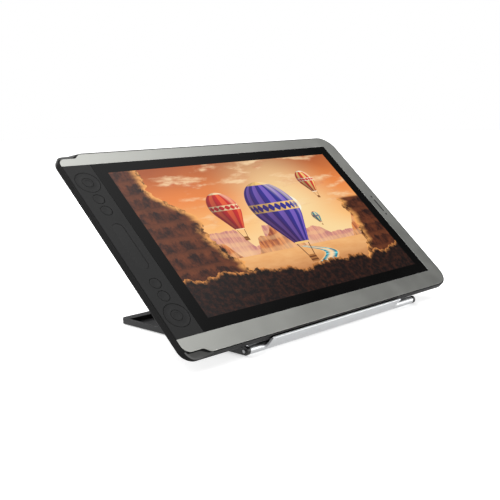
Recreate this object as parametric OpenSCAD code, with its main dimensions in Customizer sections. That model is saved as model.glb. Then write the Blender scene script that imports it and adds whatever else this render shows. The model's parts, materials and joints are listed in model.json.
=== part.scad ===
// Pen drawing tablet with a screen, resting on a tilting stand.
// X runs to the right along the tablet, Y away from the person drawing, Z up.
// The origin is under the middle of the whole object, on the table.

/* [Tablet] */
// Width of the tablet, left edge to right edge
tab_w = 431; // [429:1:435]
// Height of the tablet, bottom edge to top edge
tab_h = 260; // [260:1:264]
// Corner radius on the key side
corner_l = 14; // [13:1:15]
// Corner radius on the screen side
corner_r = 21; // [19:1:23]
// Wall thickness of the rear shell
wall = 2; // [1.8:0.1:2]
// How far the back is drawn in past the upright side wall
taper = 12; // [10:1:12]

/* [Screen] */
// Width of the lit picture
pic_w = 344.2; // [344:0.1:345]
// Height of the lit picture
pic_h = 193.6; // [193:0.1:194]
// How far the picture's middle lies right of the tablet's middle
pic_x = 6.6; // [6.4:0.1:6.8]
// Height of the picture's lower edge above the tablet's bottom edge
pic_y = 36; // [35.5:0.1:36.5]
// Black glass border beside the picture
glass_side = 14.7; // [14.5:0.1:14.8]
// Black glass border below and above the picture
glass_edge = 13.5; // [13.2:0.1:13.7]

/* [Keys] */
// Diameter of the round keys and of the middle buttons
key_d = 12; // [11.6:0.1:12.2]
// Outside diameter of the four-way rings
ring_d = 26.8; // [26.4:0.1:27]
// Distance of each ring from the middle of the key panel
ring_at = 86; // [85.5:0.1:86.5]
// Distance of the nearer round key from the middle of the key panel
near_key = 47.2; // [47:0.1:47.4]
// Distance of the farther round key from the middle of the key panel
far_key = 62.8; // [62.6:0.1:63]
// Length of the touch bar
bar_l = 59; // [57:0.5:60]
// Width of the touch bar
bar_w = 12.5; // [12:0.1:12.6]

/* [Stand] */
// Angle of the tablet above the table
tilt = 41.85; // [40:0.05:44]
// Width of the stand over its hinge ears
stand_w = 285; // [282:1:287]
// How far the stand's middle lies right of the tablet's middle
stand_x = 11.5; // [10.5:0.5:12.5]
// Depth of the stand behind the hinge
tray_d = 193; // [192:1:196]
// Radius of the hinge barrel
barrel_r = 4.4; // [4.3:0.1:4.4]
// Length of the lip that the tablet rests on
lip_l = 215; // [205:1:217]
// Height of the lip, square to the tablet's face
lip_h = 15; // [14:0.5:15.5]
// Distance from hinge to strut pivot, and from strut pivot to foot rod
strut_arm = 88; // [87:0.5:88]

/* [Hidden] */
$fn = 48;

// Levels through the tablet, measured from its face, which is at zero
rim_top = -0.3;
glass_low = -1.1;
frame_low = -1;
rebate_low = -1.05;
panel_low = -1.8;
chassis_top = -1.1;
chassis_low = -3;
wall_low = -7.5;
floor_in = -12.2;
back = -14;
pcb_top = -6;
pcb_low = -7;
ring_axis = -3.5;
washer_axis = -5.3;

// Places on the face of the tablet
left = -tab_w / 2;
right = tab_w / 2;
glass_x0 = pic_x - pic_w / 2 - glass_side;
glass_x1 = pic_x + pic_w / 2 + glass_side + 0.1;
glass_y0 = pic_y - glass_edge;
glass_y1 = pic_y + pic_h + glass_edge;
panel_x0 = left + wall + 0.1;
panel_x1 = glass_x0 - 0.2;
key_x = (panel_x0 + panel_x1) / 2 + 0.5;
key_y = (glass_y0 + glass_y1) / 2;
frame_inset = 1.6;
gap = 0.15;
key_r = key_d / 2;
ring_r = ring_d / 2;

// The frame stops short of the two key-side corners, where the shell is scooped for a thumb
scoop_y = 7;
scoop_r = 8;
scoop_x0 = left + 2 + scoop_r;
scoop_x1 = left + 22;
scoop_x2 = left + 32;

// Side buttons on the top edge: middle of each cap and its width
power_x = 128;
brighter_x = 106;
dimmer_x = 91;
side_mid = -4.5;
side_half = 1.3;
side_press = 0.6;

// Screws that hold the rear shell to the chassis
screw_x = [-150, -30, 72, 190];
screw_y = [17, tab_h - 17];

// Sockets on the right edge
port_low = -6.3;
usb_y = [165, 183];
video_y = 203;
power_y = 224;

// Boards held on posts in the rear shell
board_x0 = 20;
board_x1 = 130;
board_y0 = 80;
board_y1 = 180;
board_low = -10.4;
board_top = -9.1;
board_posts = [for (x = [board_x0 + 5, board_x1 - 5]) for (y = [board_y0 + 5, board_y1 - 5]) [x, y]];
port_posts = [[198, 155], [198, 234]];

// Stand: the hinge line is the stand's own origin, at this height above the table
hinge_z = 5.3;
hinge_y = 1.2;
hinge_w = -19.4;
foot_h = 1;
floor_top = 2.2;
rim_z = 7.4;
rim_t = 3;
ledge_d = 12;
ear_t = 4;
ear_in = stand_w / 2 - ear_t;
barrel_half = ear_in - 0.4;
bush_l = 18;
bush_r = 3.2;
pin_r = 1.7;
run_fit = 0.04;
lip_x = -9.7;
lip_t = 2.4;
lip_front = -3.3 - hinge_y;
lip_base = 2.4;
plate_low = -17 - hinge_w;
plate_top = -15 - hinge_w;
plate_half = 130;
plate_near = barrel_r + 0.2;
plate_len = 172;
tongue_low = 1;
tongue_len = 20;
tray_front = 5.4;
rod_r = 1.8;
knuckle_r = 2.1;
foot_eye_r = 2.6;
knuckle_x = 70;
strut_pin_r = 1.3;
strut_half = 78;
strut_t = 2;
foot_half = 40;
rack_x = 52;
rack_w = 12;
rack_top = 3.3;
notches = [20, 31, tilt, 52, 62, 70];
easel_screw_x = [-105, -63, -21, 21, 63, 105];
rack_screw_y = [72, 96, 142];

// The whole object is centred front to back between the lip and the rear of the tray
front_y = lip_front * cos(tilt) - (lip_base + lip_h) * sin(tilt);
mid_y = -(front_y + tray_d) / 2;

module block(x0, x1, y0, y1, z0, z1) {
    translate([x0, y0, z0]) cube([x1 - x0, y1 - y0, z1 - z0]);
}

module slab(z0, z1) {
    translate([0, 0, z0]) linear_extrude(z1 - z0) children();
}

module disc(r, z0, z1) {
    translate([0, 0, z0]) cylinder(r = r, h = z1 - z0);
}

// A rod along X
module rod(r, x0, x1) {
    translate([x0, 0, 0]) rotate([0, 90, 0]) cylinder(r = r, h = x1 - x0);
}

// A rectangle with one corner radius on the left and another on the right
module rounded(x0, x1, y0, y1, rl, rr) {
    polygon([[x0 + rl, y0], [x1 - rr, y0], [x1, y0 + rr], [x1, y1 - rr],
        [x1 - rr, y1], [x0 + rl, y1], [x0, y1 - rl], [x0, y0 + rl]]);
    for (y = [y0 + rl, y1 - rl]) translate([x0 + rl, y]) circle(rl);
    for (y = [y0 + rr, y1 - rr]) translate([x1 - rr, y]) circle(rr);
}

// A slot with round ends, length along X
module pill(l, w) {
    square([l - w, w], center = true);
    for (s = [-1, 1]) translate([s * (l - w) / 2, 0]) circle(w / 2);
}

// Outline of the tablet, drawn in from its edge
module outline(inset) {
    rounded(left + inset, right - inset, inset, tab_h - inset,
        max(corner_l - inset, 4), max(corner_r - inset, 6));
}

// Places a child drawn on the tablet's own face into the object, leaning on the stand
module on_tablet() {
    translate([0, mid_y, hinge_z]) rotate([tilt, 0, 0]) translate([0, -hinge_y, -hinge_w]) children();
}

// Places a child drawn along the easel, from the hinge line, into the object
module on_easel() {
    translate([stand_x, mid_y, hinge_z]) rotate([tilt, 0, 0]) children();
}

// Places a child drawn along the strut, from its pivot, into the object
module on_strut() {
    on_easel() translate([0, strut_arm, 0]) rotate([-2 * tilt, 0, 0]) children();
}

// Places a child drawn from the hinge line, on the table, into the object
module on_table() {
    translate([stand_x, mid_y, 0]) children();
}

// Repeats a child at the key-side bottom corner and, mirrored, at the top one
module both_corners() {
    children();
    translate([0, tab_h, 0]) mirror([0, 1, 0]) children();
}

// Area that the front frame leaves free at a key-side corner, with its S-shaped end
module scoop_area(grow) {
    far = 3;
    s_curve = [for (i = [0:12])
        [scoop_x2 + grow - i / 12 * (scoop_x2 - scoop_x1),
            frame_inset + grow + (1 - cos(15 * i)) / 2 * (scoop_y - frame_inset)]];
    corner = [for (i = [0:8]) [scoop_x0 - (scoop_r - grow) * sin(i * 11.25),
        scoop_y + scoop_r - (scoop_r - grow) * cos(i * 11.25)]];
    polygon(concat([[left - far, -far], [scoop_x2 + grow, -far]], s_curve, corner,
        [[left - far, scoop_y + scoop_r]]));
}

// Everything that the thumb scoop takes away from the shell
module scoop_cut() {
    slope = 40;
    rise = -1.5;
    reach = 40;
    intersection() {
        slab(wall_low, 1) scoop_area(0);
        translate([left - 5, scoop_y - 1.5, rise]) rotate([slope, 0, 0])
            translate([0, -reach, 0]) cube([reach, reach + 12, reach]);
    }
}

// ---- Stand: what stays on the table ----

module base_tray() {
    half = stand_w / 2;
    color("#161616") on_table() difference() {
        union() {
            difference() {
                slab(foot_h, rim_z) rounded_tray(0);
                slab(floor_top, rim_z + 1) difference() {
                    rounded_tray(rim_t);
                    translate([-half, tray_d - ledge_d]) square([stand_w, ledge_d]);
                }
                slab(foot_h - 1, rim_z - 2) difference() {
                    rounded_tray(rim_t);
                    translate([-half, 0]) square([stand_w, tray_d - ledge_d + 2]);
                }
                block(-ear_in, ear_in, -1, tray_front, 0, rim_z + 1);
            }
            for (s = [-1, 1]) translate([0, 0, hinge_z])
                rod(barrel_r, s * half - (s > 0 ? ear_t : 0), s * half + (s < 0 ? ear_t : 0));
        }
        translate([0, 0, hinge_z]) rod(pin_r, -half - 1, half + 1);
    }
}

// Outline of the tray seen from above, drawn in from its edge
module rounded_tray(inset) {
    half = stand_w / 2 - inset;
    r = 5;
    polygon([[-half, 0], [half, 0], [half, tray_d - inset - r], [half - r, tray_d - inset],
        [r - half, tray_d - inset], [-half, tray_d - inset - r]]);
    for (s = [-1, 1]) translate([s * (half - r), tray_d - inset - r]) circle(r);
}

module base_feet() {
    foot_r = 6;
    color("#2a2a2a") on_table() for (x = [-118, 0, 118]) for (y = [18, tray_d - 24])
        translate([x, y, 0]) cylinder(r = foot_r, h = foot_h);
}

module notch_racks() {
    color("#3c3c3e") on_table() for (s = [-1, 1]) difference() {
        block(s * rack_x - rack_w / 2, s * rack_x + rack_w / 2, 52, 174, floor_top, rack_top);
        for (a = notches) translate([s * rack_x, 2 * strut_arm * cos(a), hinge_z])
            rod(rod_r + 0.6, -rack_w, rack_w);
        for (y = rack_screw_y) translate([s * rack_x, y, 0]) cylinder(r = 1.2, h = rack_top + 1);
    }
}

module rack_screws() {
    color("#55565a") on_table() for (s = [-1, 1]) for (y = rack_screw_y)
        translate([s * rack_x, y, floor_top + 0.05]) cylinder(r = 1.1, h = rack_top - floor_top - 0.1);
}

module hinge_pins() {
    stub = 1.6;
    color("#8c8c8e") on_table() translate([0, 0, hinge_z]) {
        rod(pin_r, -stand_w / 2 - stub, -barrel_half + bush_l);
        rod(pin_r, barrel_half - bush_l, stand_w / 2 + stub);
    }
}

// ---- Stand: what tilts ----

module hinge_bar() {
    color("#b8b9ba") on_easel() difference() {
        union() {
            rod(barrel_r, -barrel_half, barrel_half);
            block(lip_x - lip_l / 2, lip_x + lip_l / 2, lip_front, lip_front + lip_t, 0, lip_base + lip_h);
            block(-plate_half + 2, plate_half - 2, 0, tongue_len, tongue_low, plate_low);
        }
        rod(bush_r, -barrel_half - 1, barrel_half + 1);
        for (x = easel_screw_x) translate([x, tongue_len - 7, 0]) cylinder(r = 1.25, h = 10);
    }
}

module hinge_bushes() {
    color("#1c1c1c") on_easel() for (s = [-1, 1]) difference() {
        rod(bush_r, s > 0 ? barrel_half - bush_l : -barrel_half, s > 0 ? barrel_half : bush_l - barrel_half);
        rod(pin_r + run_fit, -stand_w, stand_w);
    }
}

module easel_plate() {
    color("#1b1b1c") on_easel() difference() {
        union() {
            slab(plate_low, plate_top) rounded(-plate_half, plate_half, plate_near, plate_len, 8, 8);
            for (x = [-knuckle_x, 0, knuckle_x]) translate([0, strut_arm, 0]) knuckle(x, 10, plate_low);
        }
        for (x = easel_screw_x) translate([x, tongue_len - 7, 0]) cylinder(r = 1.25, h = 10);
        for (x = [-84, -42, 0, 42, 84]) slab(0, 10) translate([x, plate_len - 34]) pill(26, 8);
        translate([0, strut_arm, 0]) rod(strut_pin_r, -stand_w, stand_w);
    }
}

// Half of a knuckle pair: a round eye on the strut pivot with a web up to the plate
module knuckle(x, half_l, web_top) {
    rod(knuckle_r, x - half_l, x + half_l);
    block(x - half_l, x + half_l, -1.6, 1.6, 0, web_top);
}

module easel_screws() {
    color("#6a6a6c") on_easel() for (x = easel_screw_x) translate([x, tongue_len - 7, 0]) {
        disc(1.15, tongue_low - 0.4, plate_top);
        disc(2.3, plate_top, plate_top + 0.8);
    }
}

module easel_pads() {
    color("#242424") on_easel() for (x = [-100, 100]) for (y = [34, plate_len - 14])
        slab(plate_top, plate_top + 0.95) translate([x, y]) pill(44, 9);
}

module lip_strip() {
    color("#2b2b2b") on_easel() block(lip_x - lip_l / 2 + 4, lip_x + lip_l / 2 - 4,
        lip_front + lip_t, -hinge_y - 0.05, lip_base + 9.6, lip_base + lip_h - 1.5);
}

module strut_pins() {
    color("#9a9a9c") on_easel() translate([0, strut_arm, 0])
        for (s = [-1, 1]) rod(strut_pin_r, s > 0 ? 4 : -knuckle_x - 9, s > 0 ? knuckle_x + 9 : -4);
}

// ---- Stand: the prop that swings out behind ----

module prop_strut() {
    eye_x = 28;
    eye_half = 15;
    color("#202021") on_strut() difference() {
        union() {
            slab(-strut_t / 2, strut_t / 2) polygon([[-strut_half, 4.4], [strut_half, 4.4],
                [foot_half, strut_arm], [-foot_half, strut_arm]]);
            for (s = [-1, 1]) {
                rod(knuckle_r, s * eye_x - eye_half, s * eye_x + eye_half);
                block(s * eye_x - eye_half, s * eye_x + eye_half, 0, 5, -strut_t / 2, strut_t / 2);
            }
            translate([0, strut_arm, 0]) rod(foot_eye_r, -foot_half, foot_half);
        }
        rod(strut_pin_r + run_fit, -stand_w, stand_w);
        translate([0, strut_arm, 0]) rod(rod_r, -stand_w, stand_w);
        for (x = [-26, 0, 26]) slab(-5, 5) translate([x, 46]) rotate([0, 0, 90]) pill(38, 12);
    }
}

module foot_rod() {
    color("#9a9a9c") on_strut() translate([0, strut_arm, 0])
        rod(rod_r, -rack_x - rack_w / 2, rack_x + rack_w / 2);
}

// ---- Tablet: casing ----

module shell_form(inset, floor_level) {
    slab(wall_low, 1) outline(inset);
    hull() {
        slab(wall_low - 0.01, wall_low) outline(inset);
        slab(floor_level, floor_level + 0.01) outline(taper + inset * 0.4);
    }
}

module rear_shell() {
    color("#1a1a1a") on_tablet() difference() {
        union() {
            difference() {
                shell_form(0, back);
                shell_form(wall, floor_in);
                slab(rim_top, 2) outline(-1);
                slab(rebate_low, 2) frame_outline(-0.08);
            }
            for (x = screw_x) for (y = screw_y) translate([x, y, 0]) disc(3, floor_in - 0.5, chassis_low - 0.1);
            for (p = board_posts) translate(p) disc(2.5, floor_in - 0.5, board_low - 0.05);
            for (p = port_posts) translate(p) disc(2.5, floor_in - 0.5, port_low - 1.15);
            both_corners() intersection() {
                slab(-9, rebate_low) outline(1);
                block(left + 1, scoop_x2 + 1.5, 1, scoop_y + 1.5, -9, rebate_low);
            }
        }
        both_corners() scoop_cut();
        for (x = screw_x) for (y = screw_y) translate([x, y, 0]) {
            disc(1.3, back - 1, 0);
            disc(2.6, back - 1, back + 1.6);
        }
        for (p = board_posts) translate(p) disc(0.9, floor_in + 0.3, 0);
        for (p = port_posts) translate(p) disc(0.9, floor_in + 0.3, 0);
        for (y = usb_y) port_hole(y, 9.4, 3.6);
        port_hole(video_y, 12, 3.6);
        port_hole(power_y, 5, 3.6);
        side_hole(power_x, 14);
        side_hole(brighter_x, 10);
        side_hole(dimmer_x, 10);
        for (i = [0:15]) slab(back - 1, floor_in + 1) translate([-90 + 12 * i, tab_h - 30])
            rotate([0, 0, 90]) pill(14, 1.8);
    }
}

// Slot through the right-hand wall
module port_hole(y, l, h) {
    translate([right, y, -4.6]) rotate([90, 0, 90]) slab(-wall - 0.6, 1) pill(l, h);
}

// Slot through the top wall
module side_hole(x, l) {
    translate([x, tab_h, side_mid]) rotate([90, 0, 0]) slab(-1, wall + 0.6)
        pill(l + 2 * gap, 2 * (side_half + gap));
}

module rear_feet() {
    color("#2a2a2a") on_tablet() for (x = [-184, 184]) for (y = [30, tab_h - 30])
        slab(back - 1.5, back) translate([x, y]) pill(26, 8);
}

module shell_screws() {
    color("#2f2f31") on_tablet() for (x = screw_x) for (y = screw_y) translate([x, y, 0]) {
        disc(1.15, back + 1.5, chassis_top - 0.6);
        difference() {
            disc(2.4, back + 0.5, back + 1.6);
            disc(0.9, back, back + 1);
        }
    }
}

// Outline of the front frame before its openings
module frame_outline(inset) {
    e = frame_inset + inset;
    rounded(left + wall + inset, right - e, e, tab_h - e, corner_l - 2, corner_r - e);
}

module front_frame() {
    color("#a9aaa3") on_tablet() difference() {
        slab(frame_low, 0) frame_outline(0);
        block(glass_x0 - gap, glass_x1 + gap, glass_y0 - gap, glass_y1 + gap, -3, 1);
        block(left, glass_x0 + 1, glass_y0 - gap, glass_y1 + gap, -3, 1);
        both_corners() slab(-3, 1) scoop_area(0);
        slab(-0.5, 1) inlay_shape(0.06);
    }
}

// Plain mark on the right-hand strip: a bar between two dots
module inlay_shape(grow) {
    bar_length = 21;
    dot_r = 1.7;
    dot_at = 15.4;
    translate([(glass_x1 + right) / 2, key_y]) {
        rotate([0, 0, 90]) pill(bar_length + 2 * grow, 2 * (dot_r + grow));
        for (s = [-1, 1]) translate([0, s * dot_at]) circle(dot_r + grow);
    }
}

module trim_inlay() {
    color("#2d2d2d") on_tablet() slab(-0.5, 0) inlay_shape(0);
}

module chassis() {
    room = 3.7;
    color("#3a3a3c") on_tablet() difference() {
        slab(chassis_low, chassis_top) outline(wall + 0.3);
        block(pic_x - pic_w / 2 - room, pic_x + pic_w / 2 + room, pic_y - room, pic_y + pic_h + room, -9, 9);
        block(panel_x0 - 1, panel_x1 + 0.15, glass_y0 - 0.1, glass_y1 + 0.1, panel_low - 0.02, 1);
        block(panel_x0 + 2, panel_x1 - 1.6, glass_y0 + 3, glass_y1 - 3, -9, 9);
        block(38, 82, pic_y - 8, pic_y, -9, 9);
        both_corners() block(left, scoop_x2 + 2, 0, scoop_y + 2, -9, 9);
        for (x = screw_x) for (y = screw_y) translate([x, y, 0]) disc(1.2, -9, 9);
    }
}

// ---- Tablet: screen ----

// A rectangle standing a little outside the lit picture
module screen_block(over, z0, z1) {
    block(pic_x - pic_w / 2 - over, pic_x + pic_w / 2 + over, pic_y - over, pic_y + pic_h + over, z0, z1);
}

module cover_glass() {
    color("#0a0a0a") on_tablet() block(glass_x0, glass_x1, glass_y0, glass_y1, glass_low, 0);
}

module lcd_cell() {
    color("#2b3340") on_tablet() screen_block(2.5, -2.7, glass_low - 0.02);
}

module diffuser_films() {
    color("#f2f2ee") on_tablet() screen_block(2.4, -3.3, -2.72);
}

module light_guide() {
    color("#dfe9ee") on_tablet() difference() {
        screen_block(2.4, -5.4, -3.32);
        block(-300, 300, 0, pic_y + 0.2, -9, 0);
    }
}

module led_strip() {
    color("#f4efd8") on_tablet() {
        block(pic_x - 170, pic_x + 170, pic_y - 2.3, pic_y - 1.3, -5.4, -3.5);
        for (i = [0:27]) translate([pic_x - 162 + 12 * i, pic_y - 1.3, -5.2]) cube([5, 1.3, 1.5]);
    }
}

module backlight_tray() {
    color("#c9cbcd") on_tablet() difference() {
        screen_block(3.1, -6, -1.2);
        screen_block(2.56, -5.45, 1);
        block(38, 82, pic_y - 4, pic_y, -2.9, 1);
    }
}

module sensor_board() {
    color("#2f6b45") on_tablet() screen_block(5, -7, -6.05);
}

module shield_plate() {
    color("#b9bcbe") on_tablet() screen_block(4.5, -7.6, -7.05);
}

module display_ribbon() {
    y0 = pic_y - 6.6;
    color("#b07a2a") on_tablet() {
        block(42, 78, y0, pic_y - 2.55, -1.9, -1.6);
        block(42, 78, y0, y0 + 0.3, -8.9, -1.9);
        block(42, 78, y0, board_y0 - 0.1, -8.9, -8.6);
    }
}

// ---- Tablet: boards and sockets ----

module main_board() {
    color("#1f5a3a") on_tablet() {
        difference() {
            block(board_x0, board_x1, board_y0, board_y1, board_low, board_top);
            for (p = board_posts) translate(p) disc(1.2, -20, 0);
        }
        block(55, 75, 115, 135, board_top, -8.1);
        block(90, 102, 112, 124, board_top, -8.1);
        block(40, 46, 140, 152, board_top, -8.1);
        block(40, 80, board_y0, board_y0 + 4, board_top, -8.5);
        block(board_x0, board_x0 + 4, 129, 143, board_top, -8.5);
        block(board_x1 - 4, board_x1, 159, 173, board_top, -8.5);
    }
}

module board_screws() {
    color("#7d7d80") on_tablet() {
        for (p = board_posts) translate(p) {
            disc(0.85, floor_in + 0.6, board_top);
            disc(1.9, board_top, -8.2);
        }
        for (p = port_posts) translate(p) {
            disc(0.85, floor_in + 0.6, port_low);
            disc(1.9, port_low, port_low + 0.9);
        }
    }
}

module port_board() {
    color("#1f5a3a") on_tablet() difference() {
        block(192, right - wall - 1.5, 150, 239, port_low - 1.1, port_low);
        for (p = port_posts) translate(p) disc(1.2, -20, 0);
    }
}

// A flat metal socket with its mouth on the right
module flat_socket(y, l, h, depth) {
    x1 = right - wall - 0.2;
    difference() {
        block(x1 - depth, x1, y - l / 2, y + l / 2, port_low, port_low + h);
        block(x1 - depth + 1, x1 + 1, y - l / 2 + 0.4, y + l / 2 - 0.4, port_low + 0.4, port_low + h - 0.4);
    }
    block(x1 - depth + 1, x1 - 1.2, y - l / 2 + 1.4, y + l / 2 - 1.4, port_low + h / 2 - 0.35, port_low + h / 2 + 0.35);
}

module usb_sockets() {
    color("#a8a8aa") on_tablet() for (y = usb_y) flat_socket(y, 8.9, 3.2, 7.4);
}

module video_socket() {
    color("#a8a8aa") on_tablet() flat_socket(video_y, 11.2, 3.2, 7.5);
}

module power_socket() {
    x1 = right - wall - 0.2;
    color("#262628") on_tablet() difference() {
        block(x1 - 9, x1, power_y - 4, power_y + 4, port_low, port_low + 3.2);
        translate([0, power_y, port_low + 1.6]) difference() {
            rod(1.2, x1 - 7, x1 + 1);
            rod(0.4, x1 - 8, x1 + 2);
        }
    }
}

module port_ribbon() {
    color("#b07a2a") on_tablet() {
        block(board_x1 + 0.1, 200, 160, 172, -8.9, -8.6);
        block(199.7, 200, 160, 172, -8.6, port_low - 1.12);
    }
}

module side_board() {
    color("#1f5a3a") on_tablet() {
        block(80, 138, 248, 255.4, -8.2, -7.1);
        for (x = [power_x, brighter_x, dimmer_x]) block(x - 3, x + 3, 251.2, 255, -7.1, -3.4);
    }
}

// ---- Tablet: keys that stay put ----

module key_panel() {
    hole = 0.3;
    color("#333333") on_tablet() difference() {
        block(panel_x0, panel_x1, glass_y0, glass_y1, panel_low, 0);
        translate([key_x, key_y, 0]) {
            for (s = [-1, 1]) {
                translate([0, s * ring_at, 0]) disc(ring_r + hole, -4, 1);
                for (y = [near_key, far_key]) translate([0, s * y, 0]) disc(key_r + hole, -4, 1);
            }
            slab(-4, 1) rotate([0, 0, 90]) pill(bar_l + 0.3, bar_w + 0.3);
        }
    }
}

module touch_bar() {
    color("#2f2f2f") on_tablet() translate([key_x, key_y, 0])
        slab(-1.5, -0.25) rotate([0, 0, 90]) pill(bar_l, bar_w);
}

module touch_sensor() {
    color("#2f6b45") on_tablet() translate([key_x, key_y, 0])
        slab(-2.3, -1.52) rotate([0, 0, 90]) pill(bar_l - 1, bar_w - 1);
}

module key_board() {
    color("#2f6b45") on_tablet() block(panel_x0 + 3.5, panel_x1 - 3, glass_y0 + 5, glass_y1 - 5, pcb_low, pcb_top);
}

module dome_switches() {
    dome_r = 2.4;
    four_way = 9.6;
    color("#c8c8c4") on_tablet() translate([key_x, key_y, 0]) for (s = [-1, 1]) {
        for (y = [near_key, far_key, ring_at]) translate([0, s * y, 0]) disc(dome_r, pcb_top, pcb_top + 0.7);
        for (a = [45:90:315]) translate([four_way * cos(a), s * ring_at + four_way * sin(a), 0])
            disc(dome_r - 0.4, pcb_top, pcb_top + 0.5);
    }
}

module key_ribbon() {
    color("#b07a2a") on_tablet() {
        block(-190, board_x0 - 0.1, 130, 142, -8.9, -8.6);
        block(-190, -189.7, 130, 142, -8.6, pcb_low - 0.02);
    }
}

// ---- Tablet: keys that move ----

// A press button: cap, retaining rim under the panel, and stem down to its dome
module press_key(y, rim) {
    color("#303030") on_tablet() translate([key_x, key_y + y, 0]) {
        disc(key_r, -2, -0.05);
        if (rim) disc(key_r + 0.8, -2.7, -2);
        disc(1.6, -4.4, -2);
    }
}

module key_one() {
    press_key(far_key, true);
}

module key_two() {
    press_key(near_key, true);
}

module key_three() {
    press_key(-near_key, true);
}

module key_four() {
    press_key(-far_key, true);
}

module middle_upper() {
    press_key(ring_at, false);
}

module middle_lower() {
    press_key(-ring_at, false);
}

// A four-way ring with a wider rim under the panel
module ring_cap(y) {
    color("#303030") on_tablet() translate([key_x, key_y + y, 0]) difference() {
        union() {
            disc(ring_r, -3, -0.05);
            disc(ring_r + 0.5, -3.1, -2.6);
        }
        disc(key_r + 0.6, -5, 1);
    }
}

module ring_upper() {
    ring_cap(ring_at);
}

module ring_lower() {
    ring_cap(-ring_at);
}

// The washer under a ring: it rocks on two round ridges along X, and the ring on two along Y
module gimbal(y) {
    low = -4.7;
    high = -3.9;
    ridge_r = [0.35, 0.6];
    color("#8f8f8c") on_tablet() translate([key_x, key_y + y, 0]) {
        difference() {
            disc(12.4, low, high);
            disc(7.2, -9, 0);
        }
        for (a = [7.6, -12]) {
            b = a + 4.4;
            translate([0, 0, ring_axis]) rotate([0, 0, 90]) rod(ridge_r[0], a, b);
            block(-ridge_r[0], ridge_r[0], a, b, high - 0.1, ring_axis);
            translate([0, 0, washer_axis]) rod(ridge_r[1], a, b);
            block(a, b, -ridge_r[1], ridge_r[1], washer_axis, low + 0.1);
        }
    }
}

module gimbal_upper() {
    gimbal(ring_at);
}

module gimbal_lower() {
    gimbal(-ring_at);
}

// A button in the top edge: cap, inner rim and plunger
module side_button(x, l) {
    color("#222222") on_tablet() translate([x, tab_h, side_mid]) rotate([90, 0, 0]) {
        slab(-0.4, wall + 0.2) pill(l, 2 * side_half);
        slab(wall + 0.2, wall + 0.8) square([l + 1.6, 2.9], center = true);
        slab(wall + 0.8, 4) square([2, 2], center = true);
    }
}

module power_button() {
    side_button(power_x, 14);
}

module brighter_button() {
    side_button(brighter_x, 10);
}

module dimmer_button() {
    side_button(dimmer_x, 10);
}

base_tray();
base_feet();
notch_racks();
rack_screws();
hinge_pins();
hinge_bar();
hinge_bushes();
easel_plate();
easel_screws();
easel_pads();
lip_strip();
strut_pins();
prop_strut();
foot_rod();
rear_shell();
rear_feet();
shell_screws();
chassis();
front_frame();
trim_inlay();
cover_glass();
lcd_cell();
diffuser_films();
light_guide();
led_strip();
backlight_tray();
sensor_board();
shield_plate();
main_board();
board_screws();
port_board();
usb_sockets();
video_socket();
power_socket();
key_panel();
key_board();
dome_switches();
touch_bar();
touch_sensor();
side_board();
display_ribbon();
key_ribbon();
port_ribbon();
key_one();
key_two();
key_three();
key_four();
gimbal_upper();
gimbal_lower();
ring_upper();
ring_lower();
middle_upper();
middle_lower();
power_button();
brighter_button();
dimmer_button();
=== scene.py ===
import bmesh
import bpy
import json
import math
from mathutils import Matrix, Vector


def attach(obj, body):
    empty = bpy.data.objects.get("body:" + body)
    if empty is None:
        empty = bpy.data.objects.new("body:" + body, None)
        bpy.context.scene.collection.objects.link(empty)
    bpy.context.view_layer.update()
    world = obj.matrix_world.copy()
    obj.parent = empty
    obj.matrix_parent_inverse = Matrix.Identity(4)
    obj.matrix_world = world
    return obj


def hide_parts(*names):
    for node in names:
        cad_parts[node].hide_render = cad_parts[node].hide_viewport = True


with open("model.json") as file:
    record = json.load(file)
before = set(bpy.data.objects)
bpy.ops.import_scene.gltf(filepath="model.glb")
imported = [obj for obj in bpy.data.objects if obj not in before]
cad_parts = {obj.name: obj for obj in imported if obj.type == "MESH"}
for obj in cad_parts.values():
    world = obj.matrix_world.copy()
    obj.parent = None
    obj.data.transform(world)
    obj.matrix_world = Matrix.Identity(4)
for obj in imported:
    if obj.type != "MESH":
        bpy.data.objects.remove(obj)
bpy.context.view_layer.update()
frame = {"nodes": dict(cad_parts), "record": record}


# ---- Tray of the stand ----
# A shallow tray pressed from steel sheet, with a raised rim and an ear at each front corner
# that holds a hinge pin. It is black powder coated; the press leaves its edges eased.

def shader_group(name, inputs, outputs):
    """A shader node group with number inputs {name: default} and outputs {name: socket type}."""
    group = bpy.data.node_groups.new(name, "ShaderNodeTree")
    for label, value in inputs.items():
        socket = group.interface.new_socket(label, in_out="INPUT", socket_type="NodeSocketFloat")
        socket.default_value = value
    for label, kind in outputs.items():
        group.interface.new_socket(label, in_out="OUTPUT", socket_type=kind)
    return group, group.nodes.new("NodeGroupInput").outputs, group.nodes.new("NodeGroupOutput").inputs


def add(tree, kind, links=(), **settings):
    """A node with its settings, and its sockets set to values or joined to other nodes."""
    node = tree.nodes.new(kind)
    for key, value in settings.items():
        setattr(node, key, value)
    for socket, source in dict(links).items():
        if isinstance(source, bpy.types.NodeSocket):
            tree.links.new(source, node.inputs[socket])
        else:
            node.inputs[socket].default_value = source
    return node


def calc(tree, operation, *sources, clamp=False):
    node = add(tree, "ShaderNodeMath", dict(enumerate(sources)), operation=operation, use_clamp=clamp)
    return node.outputs[0]


def mix(tree, factor, first, second):
    """first where factor is 0 and second where it is 1; a plain colour is a tuple of three."""
    first, second = ((*c, 1) if isinstance(c, tuple) else c for c in (first, second))
    return add(tree, "ShaderNodeMix", {0: factor, 6: first, 7: second}, data_type="RGBA").outputs[2]


def ranged(tree, value, low, high, to_low=0.0, to_high=1.0):
    """value moved smoothly from low..high to to_low..to_high."""
    links = {"Value": value, "From Min": low, "From Max": high, "To Min": to_low, "To Max": to_high}
    return add(tree, "ShaderNodeMapRange", links, interpolation_type="SMOOTHSTEP").outputs[0]


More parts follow.
